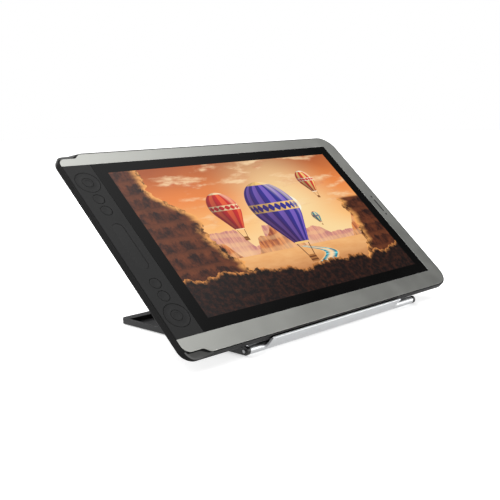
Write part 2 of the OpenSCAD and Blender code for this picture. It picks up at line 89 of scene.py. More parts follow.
def opened(material):
    """The node tree of a material and the inputs of its Principled BSDF."""
    material.use_nodes = True
    return material.node_tree, material.node_tree.nodes["Principled BSDF"].inputs


def make_grain_group():
    """Moulded or sprayed grain: a fine height, and a slow mottle for colour and roughness."""
    group, given, made = shader_group("surface grain", {"Size": 0.3, "Patch": 25.0},
                                      {"Height": "NodeSocketFloat", "Mottle": "NodeSocketFloat"})
    where = add(group, "ShaderNodeTexCoord").outputs["Object"]
    for size, output, detail in (("Size", "Height", 2.0), ("Patch", "Mottle", 4.0)):
        scale = calc(group, "DIVIDE", 1000.0, given[size])
        noise = add(group, "ShaderNodeTexNoise", {"Vector": where, "Scale": scale, "Detail": detail})
        group.links.new(noise.outputs["Fac"], made[output])
    return group


def make_polish_group():
    """Edge polish: one along outer edges that hands and desks rub, broken up by noise. It looks
    inwards from the surface, and finds the other side of an edge within the spread, in metres."""
    group, given, made = shader_group("edge polish", {"Spread": 0.0006}, {"Mask": "NodeSocketFloat"})
    within = add(group, "ShaderNodeAmbientOcclusion", {"Distance": given["Spread"]}, inside=True,
                 only_local=True, samples=6).outputs["AO"]
    where = add(group, "ShaderNodeTexCoord").outputs["Object"]
    patchy = add(group, "ShaderNodeTexNoise", {"Vector": where, "Scale": 180.0, "Detail": 3.0})
    mask = ranged(group, within, 0.97, 0.6)
    group.links.new(calc(group, "MULTIPLY", mask, patchy.outputs["Fac"], clamp=True), made["Mask"])
    return group


GRAIN = make_grain_group()
POLISH = make_polish_group()


def coated(name, colour, rough, grain=0.3, bump=0.25, shift=0.2, metallic=0.0, shine=0.5, edge=0.5):
    """A moulded or sprayed surface: grain in its bump, mottled roughness and paler, smoother edges.
    colour is linear, grain is in mm, and shift is how far the mottle moves colour and roughness."""
    material = bpy.data.materials.new(name)
    tree, surface = opened(material)
    grained = add(tree, "ShaderNodeGroup", node_tree=GRAIN)
    grained.inputs["Size"].default_value = grain
    rubbed = add(tree, "ShaderNodeGroup", node_tree=POLISH).outputs["Mask"]
    mottle = grained.outputs["Mottle"]
    low, high = (tuple(c * k for c in colour) for k in (1 - shift, 1 + shift))
    paler = tuple(min(1, c * (1 + edge) + 0.015 * edge) for c in colour)
    tree.links.new(mix(tree, rubbed, mix(tree, mottle, low, high), paler), surface["Base Color"])
    roughness = ranged(tree, mottle, 0.3, 0.7, rough * (1 - shift), rough * (1 + shift))
    smoother = calc(tree, "MULTIPLY", rubbed, 0.3 * edge)
    tree.links.new(calc(tree, "SUBTRACT", roughness, smoother, clamp=True), surface["Roughness"])
    relief = add(tree, "ShaderNodeBump", {"Height": grained.outputs["Height"], "Strength": bump,
                                          "Distance": grain * 0.0003})
    tree.links.new(relief.outputs[0], surface["Normal"])
    surface["Metallic"].default_value = metallic
    surface["Specular IOR Level"].default_value = shine
    return material


BODY = {node: body for body, nodes in frame["record"]["behaviour"]["bodies"].items() for node in nodes}


def fitted(piece, materials, stands_for, sharp=32):
    """Gives a finished mesh object its materials and shading, and joins it to the drawn node's body."""
    held = piece.data.materials
    while len(held) > len(materials):
        held.pop()
    while len(held) < len(materials):
        held.append(None)
    for place, material in enumerate(materials):
        held[place] = material
    piece.data.shade_smooth()
    piece.data.set_sharp_from_angle(angle=math.radians(sharp))
    if piece.name not in bpy.context.scene.collection.objects:
        bpy.context.scene.collection.objects.link(piece)
    flats = piece.modifiers.new("flats", "WEIGHTED_NORMAL")
    flats.keep_sharp = True
    ready = piece.evaluated_get(bpy.context.evaluated_depsgraph_get())
    piece.data = bpy.data.meshes.new_from_object(ready)
    piece.modifiers.clear()
    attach(piece, BODY[stands_for[0]])
    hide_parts(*stands_for)
    return piece


def welded(node):
    """A bmesh of a drawn node with its doubled vertices joined."""
    form = bmesh.new()
    form.from_mesh(frame["nodes"][node].data)
    bmesh.ops.remove_doubles(form, verts=form.verts, dist=2e-6)
    return form


def eased(node, material, width, above=40):
    """A copy of a drawn node with edges sharper than `above` degrees rounded by width, in mm."""
    form = welded(node)
    bmesh.ops.dissolve_limit(form, angle_limit=math.radians(1), verts=form.verts, edges=form.edges)
    edges = [e for e in form.edges if e.is_manifold and e.calc_face_angle(0) > math.radians(above)]
    bmesh.ops.bevel(form, geom=edges, offset=width * 0.001, segments=2, affect="EDGES", profile=0.5,
                    clamp_overlap=True)
    mesh = bpy.data.meshes.new(node + "_form")
    form.to_mesh(mesh)
    form.free()
    return fitted(bpy.data.objects.new(node + "_eased", mesh), [material], [node])


def dress(node, material):
    """Gives a drawn node a better material and leaves its shape alone."""
    for place in frame["nodes"][node].material_slots:
        place.material = material


tray_coat = coated("black powder coat", (0.011, 0.011, 0.012), 0.36, 0.5, 0.35, 0.15, shine=0.6)
eased("base_tray", tray_coat, 0.55)


# ---- Feet and pads ----
# Die-cut and moulded rubber: round feet under the tray, long feet under the tablet, pads on
# the easel and a strip along the lip, all glued on. Rubber picks up pale dust.

def rubber(name):
    """Matt black rubber with pale dust in specks."""
    material = coated(name, (0.022, 0.022, 0.021), 0.8, 0.35, 0.5, 0.3, shine=0.25, edge=0.2)
    tree, surface = opened(material)
    where = add(tree, "ShaderNodeTexCoord").outputs["Object"]
    specks = add(tree, "ShaderNodeTexNoise", {"Vector": where, "Scale": 900.0, "Detail": 4.0})
    dusty = ranged(tree, specks.outputs["Fac"], 0.58, 0.8, 0.0, 0.35)
    plain = surface["Base Color"].links[0].from_socket
    tree.links.new(mix(tree, dusty, plain, (0.12, 0.12, 0.115)), surface["Base Color"])
    return material


foot_rubber = rubber("black rubber")
for node in ("base_feet", "rear_feet", "easel_pads", "lip_strip"):
    eased(node, foot_rubber, 0.25)


# ---- Notched racks and their screws ----
# Two hardened strips let the prop strut drop into one of six notches. They are blackened
# steel, milled across, and each is held by three flush screws.

def bright_metal(name, colour, rough, along, line=0.12, bump=0.1, shift=0.2):
    """Bare or anodised metal with fine machining lines along an axis (0, 1 or 2), line mm apart."""
    material = coated(name, colour, rough, 0.2, bump, shift, metallic=1.0, edge=0.35)
    tree, surface = opened(material)
    where = add(tree, "ShaderNodeTexCoord").outputs["Object"]
    stretch = [1000 / line] * 3
    stretch[along] = 8
    stretched = add(tree, "ShaderNodeMapping", {"Vector": where, "Scale": stretch}).outputs[0]
    lines = add(tree, "ShaderNodeTexNoise", {"Vector": stretched, "Scale": 1.0, "Detail": 3.0}).outputs["Fac"]
    plain = surface["Roughness"].links[0].from_socket
    spread = ranged(tree, lines, 0.3, 0.7, -0.35 * rough, 0.35 * rough)
    tree.links.new(calc(tree, "ADD", plain, spread, clamp=True), surface["Roughness"])
    relief = surface["Normal"].links[0].from_node
    scratched = add(tree, "ShaderNodeBump", {"Height": lines, "Strength": bump, "Distance": 0.00003,
                                             "Normal": relief.outputs[0]})
    tree.links.new(scratched.outputs[0], surface["Normal"])
    return material


eased("notch_racks", bright_metal("blackened steel", (0.09, 0.09, 0.095), 0.4, 0), 0.12)


def screw_tree():
    """Geometry nodes: on every point of the mesh a domed screw head with a cross-shaped recess."""
    tree = bpy.data.node_groups.new("screw heads", "GeometryNodeTree")
    tree.interface.new_socket("Points", in_out="INPUT", socket_type="NodeSocketGeometry")
    for label in ("Head Radius", "Head Height", "Recess Width", "Recess Depth"):
        tree.interface.new_socket(label, in_out="INPUT", socket_type="NodeSocketFloat")
    tree.interface.new_socket("Axis", in_out="INPUT", socket_type="NodeSocketVector")
    tree.interface.new_socket("Finish", in_out="INPUT", socket_type="NodeSocketMaterial")
    tree.interface.new_socket("Heads", in_out="OUTPUT", socket_type="NodeSocketGeometry")
    given = tree.nodes.new("NodeGroupInput").outputs
    made = tree.nodes.new("NodeGroupOutput").inputs
    radius, height, width, depth = (given[n] for n in ("Head Radius", "Head Height", "Recess Width",
                                                       "Recess Depth"))
    skirt = calc(tree, "MULTIPLY", height, 0.6)
    dome = calc(tree, "MULTIPLY", height, 0.4)
    body = add(tree, "GeometryNodeMeshCylinder", {"Vertices": 28, "Radius": radius, "Depth": skirt})
    crown = add(tree, "GeometryNodeMeshCone", {"Vertices": 28, "Radius Bottom": radius, "Depth": dome,
                                               "Radius Top": calc(tree, "MULTIPLY", radius, 0.8)})
    def moved(part, level):
        offset = add(tree, "ShaderNodeCombineXYZ", {"Z": level}).outputs[0]
        return add(tree, "GeometryNodeTransform", {"Geometry": part, "Translation": offset}).outputs[0]
    low = moved(body.outputs["Mesh"], calc(tree, "MULTIPLY", skirt, 0.5))
    high = moved(crown.outputs["Mesh"], skirt)
    head = add(tree, "GeometryNodeMeshBoolean", operation="UNION", solver="EXACT")
    tree.links.new(high, head.inputs["Mesh 2"])
    tree.links.new(low, head.inputs["Mesh 2"])
    cut = add(tree, "GeometryNodeMeshBoolean", {"Mesh 1": head.outputs[0]}, operation="DIFFERENCE",
              solver="EXACT")
    reach = calc(tree, "MULTIPLY", radius, 1.1)
    twice = calc(tree, "MULTIPLY", depth, 2.0)
    for x, y in ((reach, width), (width, reach)):
        size = add(tree, "ShaderNodeCombineXYZ", {"X": x, "Y": y, "Z": twice}).outputs[0]
        bar = add(tree, "GeometryNodeMeshCube", {"Size": size}).outputs["Mesh"]
        tree.links.new(moved(bar, height), cut.inputs["Mesh 2"])
    turned = add(tree, "FunctionNodeAlignRotationToVector", {"Vector": given["Axis"]}, axis="Z")
    placed = add(tree, "GeometryNodeInstanceOnPoints", {
        "Points": given["Points"], "Instance": cut.outputs[0], "Rotation": turned.outputs[0]})
    real = add(tree, "GeometryNodeRealizeInstances", {"Geometry": placed.outputs[0]}).outputs[0]
    finish = add(tree, "GeometryNodeSetMaterial", {"Geometry": real, "Material": given["Finish"]})
    tree.links.new(finish.outputs[0], made["Heads"])
    return tree


def solids(node):
    """The separate solids of a drawn node, each as the list of its vertices."""
    form = welded(node)
    left, found = dict.fromkeys(form.verts), []
    while left:
        edge, group = [left.popitem()[0]], []
        while edge:
            vert = edge.pop()
            group.append(vert.co.copy())
            for link in vert.link_edges:
                other = link.other_vert(vert)
                if other in left:
                    del left[other]
                    edge.append(other)
        found.append(group)
    form.free()
    return found


SCREWS = screw_tree()
dark_zinc = bright_metal("dark zinc", (0.16, 0.16, 0.165), 0.38, 2, 0.15)


def screw_heads(node, axis, radius, height, recess_width, recess_depth):
    """Grows a head, sizes in mm, on each screw of a drawn node: it takes up the last `height` of
    the screw, at the end that axis points to."""
    points = []
    for group in solids(node):
        along = [p.dot(axis) for p in group]
        top = max(along)
        crown = [p for p, a in zip(group, along) if a > top - 1e-5]
        points.append(tuple(sum(crown, Vector()) / len(crown) - axis * height * 0.001))
    values = {"Head Radius": radius * 0.001, "Head Height": height * 0.001,
              "Recess Width": recess_width * 0.001, "Recess Depth": recess_depth * 0.001,
              "Axis": tuple(axis), "Finish": dark_zinc}
    seeds = bpy.data.meshes.new(node + "_points")
    seeds.from_pydata(points, [], [])
    seed = bpy.data.objects.new(node + "_seed", seeds)
    bpy.context.scene.collection.objects.link(seed)
    grow = seed.modifiers.new("grow", "NODES")
    grow.node_group = SCREWS
    for item in SCREWS.interface.items_tree:
        if item.name in values:
            grow[item.identifier] = values[item.name]
    mesh = bpy.data.meshes.new_from_object(seed.evaluated_get(bpy.context.evaluated_depsgraph_get()))
    bpy.data.objects.remove(seed)
    materials = [m for m in mesh.materials if m]
    mesh.materials.clear()
    fitted(bpy.data.objects.new(node[:-1] + "_heads", mesh), materials, [node])


JOINTS = {joint["name"]: joint for joint in frame["record"]["behaviour"]["joints"]}
SLOPE_UP = Vector(JOINTS["tablet_lift"]["axis"])
SLOPE_OUT = Vector((1, 0, 0)).cross(SLOPE_UP)
screw_heads("rack_screws", Vector((0, 0, 1)), 1.1, 0.7, 0.4, 0.4)


# ---- Hinge pins, bushes and bar ----
# Two turned steel pins are pressed into the ears and run in black nylon bushes in the ends
# of the bar. The bar is drawn aluminium, satin anodised: a round barrel with a flat lip.

pin_steel = bright_metal("turned steel", (0.42, 0.42, 0.43), 0.28, 0, 0.1)
eased("hinge_pins", pin_steel, 0.3)
dress("hinge_bushes", coated("black nylon", (0.012, 0.012, 0.012), 0.45, 0.25))


def span(node, place):
    """Lowest and highest corner of a drawn node in the coordinates of a placing matrix."""
    back = place.inverted()
    points = [back @ v.co for v in frame["nodes"][node].data.vertices]
    corners = [[pick(p[i] for p in points) for i in range(3)] for pick in (min, max)]
    return Vector(corners[0]), Vector(corners[1])


def slope(origin):
    """Matrix that places millimetres drawn along the slope (x, up it, out of it) in the object."""
    turn = Matrix((Vector((1, 0, 0)), SLOPE_UP, SLOPE_OUT)).transposed().to_4x4()
    return Matrix.Translation(origin) @ turn @ Matrix.Scale(0.001, 4)


HINGE = Vector(JOINTS["easel_tilt"]["pos_m"])
easel = slope(HINGE)
bar_low, bar_high = span("hinge_bar", easel)
lip_low, lip_high = span("lip_strip", easel)


def stitched(form, first, second):
    """Joins two closed rings of vertices with a band of faces."""
    for i in range(len(first)):
        j = (i + 1) % len(first)
        form.faces.new((first[i], first[j], second[j], second[i]))


def skinned(form, rings):
    """Joins closed rings of points (x, y, z) into a skin, with the first and last ring filled."""
    made = [[form.verts.new(p) for p in ring] for ring in rings]
    for a, b in zip(made, made[1:]):
        stitched(form, a, b)
    form.faces.new(list(reversed(made[0])))
    form.faces.new(made[-1])


def swept(form, section, x0, x1, ease):
    """Adds a closed bar along x to form: its section is a list of (y, z), and both ends are eased."""
    cy, cz = (sum(p[i] for p in section) / len(section) for i in (0, 1))
    rings = []
    for x, draw in ((x0, ease), (x0 + ease * 0.3, ease * 0.3), (x0 + ease, 0), (x1 - ease, 0),
                    (x1 - ease * 0.3, ease * 0.3), (x1, ease)):
        keep = [max(0.0, 1 - draw / math.hypot(y - cy, z - cz)) for y, z in section]
        rings.append([(x, cy + (y - cy) * k, cz + (z - cz) * k) for (y, z), k in zip(section, keep)])
    skinned(form, rings)


def arc(cx, cy, r, start, end, steps):
    """Points on an arc, angles in degrees."""
    turn = [math.radians(start + (end - start) * i / steps) for i in range(steps + 1)]
    return [(cx + r * math.cos(a), cy + r * math.sin(a)) for a in turn]


def outward(form):
    """Turns each closed solid of a bmesh right side out; its own faces already agree."""
    left = dict.fromkeys(form.faces)
    while left:
        edge, group = [left.popitem()[0]], []
        while edge:
            face = edge.pop()
            group.append(face)
            for near in (f for side in face.edges for f in side.link_faces if f in left):
                del left[near]
                edge.append(near)
        volume = 0
        for face in group:
            a, *others = (v.co for v in face.verts)
            volume += sum(a.dot(b.cross(c)) for b, c in zip(others, others[1:]))
        if volume < 0:
            bmesh.ops.reverse_faces(form, faces=group)
    form.normal_update()


def laid(name, form, place):
    """Turns a bmesh drawn in millimetres into an object whose mesh lies in its place."""
    outward(form)
    mesh = bpy.data.meshes.new(name + "_form")
    form.to_mesh(mesh)
    form.free()
    mesh.transform(place)
    return bpy.data.objects.new(name, mesh)


def hinge_bar():
    barrel, bore, chamfer = -bar_low.z, 3.2, 0.35
    x0, x1 = bar_low.x, bar_high.x
    profile = [(x0 + chamfer, barrel), (x1 - chamfer, barrel), (x1, barrel - chamfer), (x1, bore),
               (x0, bore), (x0, barrel - chamfer)]
    form = bmesh.new()
    steps = 64
    rings = [[form.verts.new((x, r * math.cos(a), r * math.sin(a))) for x, r in profile]
             for a in (2 * math.pi * i / steps for i in range(steps))]
    for i in range(steps):
        stitched(form, rings[i], rings[(i + 1) % steps])
    front, back, top, foot = bar_low.y, lip_low.y, bar_high.z, 0.2
    round_over, overhang = 0.9, 4
    section = ([(front, foot), (back - 0.3, foot), (back, 2.6)]
               + arc(back - round_over, top - round_over, round_over, 0, 90, 6)
               + arc(front + round_over, top - round_over, round_over, 90, 180, 6))
    swept(form, section, lip_low.x - overhang, lip_high.x + overhang, 0.5)
    return laid("hinge_bar_drawn", form, easel)


satin_bar = bright_metal("satin anodised bar", (0.74, 0.75, 0.76), 0.42, 0, 0.25, 0.03, 0.08)
fitted(hinge_bar(), [satin_bar], ["hinge_bar"])


# ---- Easel plate, strut, rod and pins ----
# The plate and the prop strut are pressed steel with rolled eyes on a common pin. Both are
# powder coated; the foot rod and the pins stay bare so that they slide.

sheet_coat = coated("black sheet coat", (0.012, 0.012, 0.013), 0.45, 0.45, 0.3, 0.07, shine=0.4)
eased("easel_plate", sheet_coat, 0.4)
eased("prop_strut", sheet_coat, 0.4)
eased("strut_pins", pin_steel, 0.2)
eased("foot_rod", pin_steel, 0.3)
screw_heads("easel_screws", SLOPE_OUT, 2.3, 0.8, 0.6, 0.5)


# ---- Rear shell of the tablet ----
# One moulded black shell: an upright wall, then a chamfer all round down to the flat back.
# It has slots for sockets, side buttons and vents, and a thumb scoop at both key-side corners.

shell_low, shell_high = span("rear_shell", easel)
glass_low, glass_high = span("cover_glass", easel)
tablet_middle = (shell_low.x + shell_high.x) / 2
face_middle = Vector((tablet_middle, 0, 0)) + SLOPE_UP * shell_low.y + SLOPE_OUT * glass_high.z
face = slope(HINGE + face_middle * 0.001)
WIDTH = shell_high.x - shell_low.x
TALL = shell_high.y - shell_low.y
THICK = glass_high.z - shell_low.z
LEFT, RIGHT = -WIDTH / 2, WIDTH / 2
KEY_SIDE_CORNER, FAR_CORNER = 14.0, 21.0
WALL_LOW, WALL = -7.5, 2.0
FRAME_INSET = 1.6
SCOOP_Y, SCOOP_R = 7.0, 8.0
SCOOP_X = (LEFT + 2 + SCOOP_R, LEFT + 22, LEFT + 32)


def round_rect(x0, x1, y0, y1, r_left, r_right, steps=10):
    """Outline of a rectangle, anticlockwise, with one corner radius on each side."""
    low, high, left, right = y0 + r_right, y1 - r_right, x0 + r_left, x1 - r_right
    return (arc(right, low, r_right, -90, 0, steps) + arc(right, high, r_right, 0, 90, steps)
            + arc(left, y1 - r_left, r_left, 90, 180, steps)
            + arc(left, y0 + r_left, r_left, 180, 270, steps))


def outline(inset, left_inset=None):
    """Outline of the tablet drawn in by inset; the key side can have its own inset."""
    left = inset if left_inset is None else left_inset
    return round_rect(LEFT + left, RIGHT - inset, inset, TALL - inset,
                      max(KEY_SIDE_CORNER - left, 4), max(FAR_CORNER - inset, 6))


def scoop_outline():
    """Area that the front frame leaves free at the lower key-side corner, with its S-shaped end."""
    s_curve = [(SCOOP_X[2] - t * (SCOOP_X[2] - SCOOP_X[1]),
                FRAME_INSET + (1 - math.cos(math.pi * t)) / 2 * (SCOOP_Y - FRAME_INSET))
               for t in (i / 16 for i in range(17))]
    corner = arc(SCOOP_X[0], SCOOP_Y + SCOOP_R, SCOOP_R, 270, 180, 12)
    return [(LEFT - 3, -3), (SCOOP_X[2], -3)] + s_curve + corner + [(LEFT - 3, SCOOP_Y + SCOOP_R)]


def prism(points, low, top):
    """Closed prism over an outline."""
    form = bmesh.new()
    skinned(form, [[(x, y, level) for x, y in points] for level in (low, top)])
    return form


def mirrored(form):
    """Adds a copy of form at the other key-side corner."""
    copy = bmesh.ops.duplicate(form, geom=form.verts[:] + form.edges[:] + form.faces[:])["geom"]
    for vert in (g for g in copy if isinstance(g, bmesh.types.BMVert)):
        vert.co.y = TALL - vert.co.y
    bmesh.ops.reverse_faces(form, faces=[g for g in copy if isinstance(g, bmesh.types.BMFace)])
    return form


def cut(piece, tool, how="DIFFERENCE"):
    """Applies a boolean with a tool drawn as a bmesh and returns the object with its new mesh."""
    outward(tool)
    mesh = bpy.data.meshes.new("tool")
    tool.to_mesh(mesh)
    tool.free()
    helper = bpy.data.objects.new("tool", mesh)
    for thing in (piece, helper):
        if thing.name not in bpy.context.scene.collection.objects:
            bpy.context.scene.collection.objects.link(thing)
    step = piece.modifiers.new("cut", "BOOLEAN")
    step.operation, step.solver, step.object = how, "MANIFOLD", helper
    ready = piece.evaluated_get(bpy.context.evaluated_depsgraph_get())
    piece.data = bpy.data.meshes.new_from_object(ready)
    piece.modifiers.clear()
    bpy.data.objects.remove(helper)
    return piece


def slot_outline(length, width, steps=8):
    """Outline of a slot with round ends, lying along x."""
    half = (length - width) / 2
    return arc(half, 0, width / 2, -90, 90, steps) + arc(-half, 0, width / 2, 90, 270, steps)


def flared_slots(places, frame_of):
    """Tool of slots with flared mouths. places: (where, length, width, depth), frame_of turns
    (along, across, in) at a place into a point."""
    form = bmesh.new()
    flare = 0.35
    for where, length, width, depth in places:
        rings = []
        for grow, level in ((0, -depth), (0, -flare), (flare, 0), (flare, 0.6)):
            mouth = slot_outline(length + 2 * grow, width + 2 * grow)
            rings.append([frame_of(where, a, b, level) for a, b in mouth])
        skinned(form, rings)
    return form


def shell_rings():
    """Outlines of the shell from its inner floor up, over the rim, down the wall and round to the
    back. The rebate under the rim takes the front frame."""
    back, floor, rebate, rim = -THICK, -12.2, -1.05, -0.3
    taper, bend = 12.0, 1.6
    seat, seat_left = FRAME_INSET - 0.07, 1.95
    levels = [(taper + 0.8, None, floor), (WALL, None, WALL_LOW), (WALL, None, rebate),
              (seat, seat_left, rebate), (seat, seat_left, rim - 0.1), (seat - 0.2, seat_left - 0.25, rim),
              (0.35, None, rim), (0.1, None, rim - 0.1), (0.0, None, rim - 0.35)]
    fall = (back - WALL_LOW) / taper
    quarters = (0, 0.25, 0.5, 0.75, 1)
    for t in quarters:
        levels.append((bend * t * t, None, WALL_LOW + bend * (1 - t) * (1 - t) + fall * bend * t * t))
    for t in quarters:
        levels.append((taper + bend * (t - 0.5) * 1.4, None, back - fall * 0.7 * bend * (1 - t) * (1 - t)))
    return [[(x, y, level) for x, y in outline(inset, left)] for inset, left, level in levels]


SCOOP_RISE = math.tan(math.radians(25))


def scooped(shell):
    """Fills the two key-side corners and cuts the thumb scoops into them, each with a slanting
    facet that runs out under the S-shaped end of the front frame."""
    inset, end, top = 1.2, SCOOP_X[2] + 2, SCOOP_Y + SCOOP_R + 2
    corner = LEFT + KEY_SIDE_CORNER
    pad = arc(corner, KEY_SIDE_CORNER, KEY_SIDE_CORNER - inset, 180, 270, 12)
    pad += [(end, inset), (end, SCOOP_Y + 2), (corner, SCOOP_Y + 2), (LEFT + 6, top), (LEFT + inset, top)]
    cut(shell, mirrored(prism(pad, WALL_LOW, -1.2)), "UNION")
    scoop = laid("scoop", prism(scoop_outline(), WALL_LOW, 1.0), Matrix.Identity(4))
    edge_depth, beyond = 1.5, -6
    facet = [(y, -edge_depth + (y - SCOOP_Y + edge_depth) * SCOOP_RISE)
             for y in (beyond, SCOOP_Y + SCOOP_R + 1)]
    facet += [(16, 20), (beyond, 20)]
    run_out = ((LEFT - 6, 0), (SCOOP_X[1] - 3, 0), (SCOOP_X[2] + 1, 3.6))
    above = bmesh.new()
    skinned(above, [[(x, y, z + lift) for y, z in facet] for x, lift in run_out])
    cut(scoop, above, "INTERSECT")
    hollow = bmesh.new()
    hollow.from_mesh(scoop.data)
    bpy.data.objects.remove(scoop)
    cut(shell, mirrored(hollow))


def opened_up(shell):
    """Cuts the mouths of the sockets and side buttons, the row of vents and the screw wells."""
    mouth, depth = 3.6, 3.2
    sockets = []
    for node, length in (("video_socket", 12), ("power_socket", 5)):
        low, high = span(node, face)
        sockets.append(((low.y + high.y) / 2, length, mouth, depth))
    low, high = span("usb_sockets", face)
    half = 4.45
    sockets += [(y, 9.4, mouth, depth) for y in (low.y + half, high.y - half)]
    cut(shell, flared_slots(sockets, lambda y, a, b, z: (RIGHT + z, y + a, -4.6 + b)))
    buttons = []
    for node in ("power_button", "brighter_button", "dimmer_button"):
        low, high = span(node, face)
        buttons.append(((low.x + high.x) / 2, high.x - low.x - 1.6 + 0.3, 2.9, depth))
    cut(shell, flared_slots(buttons, lambda x, a, b, z: (x - a, TALL + z, -4.5 + b)))
    vent_length, vent_width, vent_depth, pitch = 14, 1.8, 2.4, 12
    vents = [(-90 + pitch * i, vent_length, vent_width, vent_depth) for i in range(16)]
    cut(shell, flared_slots(vents, lambda x, a, b, z: (x + b, TALL - 30 + a, -THICK - z)))
    well, well_depth = 5.2, 1.65
    wells = []
    for group in solids("shell_screws"):
        spot = face.inverted() @ (sum(group, Vector()) / len(group))
        wells.append(((spot.x, spot.y), well + 0.01, well, well_depth))
    cut(shell, flared_slots(wells, lambda p, a, b, z: (p[0] + a, p[1] - b, -THICK - z)))


def rear_shell():
    form = bmesh.new()
    skinned(form, shell_rings())
    shell = laid("rear_shell_moulded", form, Matrix.Identity(4))
    scooped(shell)
    opened_up(shell)
    # The faces of the slanting scoop facets take the second material, a paler copy of the shell plastic:
    # painted light for the light these facets catch.
    slant = Vector((0, SCOOP_RISE, -1)).normalized()
    for polygon in shell.data.polygons:
        across = Vector((0, abs(polygon.normal.y), -polygon.normal.z))
        polygon.material_index = int(across.dot(slant) > 0.96)
    shell.data.transform(face)
    return shell


shell_plastic = coated("black shell plastic", (0.0055, 0.0055, 0.0055), 0.42, 0.22, 0.3, 0.12,
                       shine=0.11, edge=0.6)
# Painted light: the scoop facets are the same black plastic, given a base colour ten times paler and more
# shine so that they look lit.
scoop_facet_painted_lit = coated("scoop facet painted lit", (0.055, 0.055, 0.053), 0.35, 0.22, 0.2, 0.1, shine=0.4, edge=0.3)
fitted(rear_shell(), [shell_plastic, scoop_facet_painted_lit], ["rear_shell"], 28)
screw_heads("shell_screws", -SLOPE_OUT, 2.4, 1.1, 0.7, 0.7)


# ---- Chassis, boards and sockets inside ----
# A glass-filled moulded chassis carries the screen. The boards are green laminate with plated
# parts; the sockets are plated steel shells, and polyimide ribbons join the boards.

def board_green():
    """Green laminate with a grid of tracks and plated pads."""
    material = coated("board laminate", (0.02, 0.11, 0.05), 0.35, 0.4, 0.1, 0.2, edge=0.1)
    tree, surface = opened(material)
    where = add(tree, "ShaderNodeTexCoord").outputs["Object"]
    cells = add(tree, "ShaderNodeTexVoronoi", {"Vector": where, "Scale": 420.0}, distance="CHEBYCHEV")
    tracks = ranged(tree, cells.outputs["Distance"], 0.42, 0.46)
    pads = ranged(tree, cells.outputs["Distance"], 0.12, 0.1)
    lined = mix(tree, tracks, surface["Base Color"].links[0].from_socket, (0.035, 0.17, 0.08))
    tree.links.new(mix(tree, pads, lined, (0.55, 0.5, 0.38)), surface["Base Color"])
    return material


green = board_green()
for node in ("sensor_board", "main_board", "port_board", "key_board", "touch_sensor", "side_board"):
    dress(node, green)
amber = coated("polyimide ribbon", (0.42, 0.2, 0.03), 0.3, 1.0, 0.1, 0.15, shine=0.6, edge=0.1)
for node in ("display_ribbon", "key_ribbon", "port_ribbon"):
    dress(node, amber)
plated = bright_metal("plated shells", (0.5, 0.5, 0.51), 0.3, 0, 0.2)
for node in ("usb_sockets", "video_socket"):
    eased(node, plated, 0.12)
eased("power_socket", coated("socket plastic", (0.015, 0.015, 0.015), 0.4, 0.2), 0.15)
dress("chassis", coated("glass-filled plastic", (0.035, 0.035, 0.037), 0.6, 0.4, 0.5))
dress("dome_switches", bright_metal("snap domes", (0.55, 0.55, 0.53), 0.25, 2, 0.3))
acetal = coated("acetal washers", (0.3, 0.3, 0.29), 0.4, 0.5)
for node in ("gimbal_upper", "gimbal_lower"):
    dress(node, acetal)
screw_heads("board_screws", SLOPE_OUT, 1.9, 0.9, 0.6, 0.5)


# ---- Screen stack ----
# From the back: shield plate, backlight tray with its strip of lights, light guide, white
# films and the panel laminate. All of it is hidden by the printed glass in use.

tin = bright_metal("tin plate", (0.6, 0.61, 0.62), 0.35, 0, 0.4, 0.05)
for node in ("backlight_tray", "shield_plate"):
    dress(node, tin)
guide = coated("clear acrylic guide", (0.7, 0.78, 0.82), 0.15, 1.5, 0.05, 0.05, shine=0.6, edge=0.1)
dress("light_guide", guide)
dress("diffuser_films", coated("white films", (0.85, 0.85, 0.83), 0.6, 0.8, 0.05, 0.05, edge=0.1))
dress("led_strip", coated("light strip", (0.8, 0.77, 0.6), 0.4, 0.6, 0.1, 0.1, edge=0.1))
laminate = coated("panel laminate", (0.03, 0.035, 0.045), 0.2, 1.0, 0.05, 0.1, shine=0.6, edge=0.1)
dress("lcd_cell", laminate)


# ---- Front frame ----
# A C of aluminium sheet round the screen, bead blasted and anodised warm grey, with a bright
# cut edge. It stops short at the key-side corners in a soft S above the thumb scoops.

def plate(name, loops, top, low, ease):
    """A flat plate with eased edges, drawn in millimetres on the face: the first loop is its
    outside and the others are its holes."""
    curve = bpy.data.curves.new(name + "_loops", "CURVE")
    curve.dimensions, curve.fill_mode = "2D", "BOTH"
    curve.bevel_depth, curve.bevel_resolution = ease, 2
    curve.offset = -ease
    curve.extrude = (top - low) / 2 - ease
    for points in loops:
        spline = curve.splines.new("POLY")
        spline.points.add(len(points) - 1)
        for point, (x, y) in zip(spline.points, points):
            point.co = (x, y, 0, 1)
        spline.use_cyclic_u = True
    helper = bpy.data.objects.new(name + "_loops", curve)
    bpy.context.scene.collection.objects.link(helper)
    mesh = bpy.data.meshes.new_from_object(helper.evaluated_get(bpy.context.evaluated_depsgraph_get()))
    bpy.data.objects.remove(helper)
    form = bmesh.new()
    form.from_mesh(mesh)
    bmesh.ops.remove_doubles(form, verts=form.verts, dist=1e-4)
    bmesh.ops.translate(form, verts=form.verts, vec=(0, 0, (top + low) / 2))
    return laid(name, form, face)


glass0, glass1 = span("cover_glass", face)
SEAM = 0.15


def flipped(points):
    """The same outline at the other long edge."""
    return [(x, TALL - y) for x, y in reversed(points)]


def inlay_loops(grow):
    """Outlines of the plain mark: a bar between two dots."""
    x, y = (glass1.x + RIGHT) / 2, (glass0.y + glass1.y) / 2
    bar_length, dot_r, dot_at = 21, 1.7, 15.4
    bar = [(x - b, y + a) for a, b in slot_outline(bar_length + 2 * grow, 2 * (dot_r + grow))]
    return [bar] + [arc(x, y + s * dot_at, dot_r + grow, 0, 345, 23) for s in (-1, 1)]


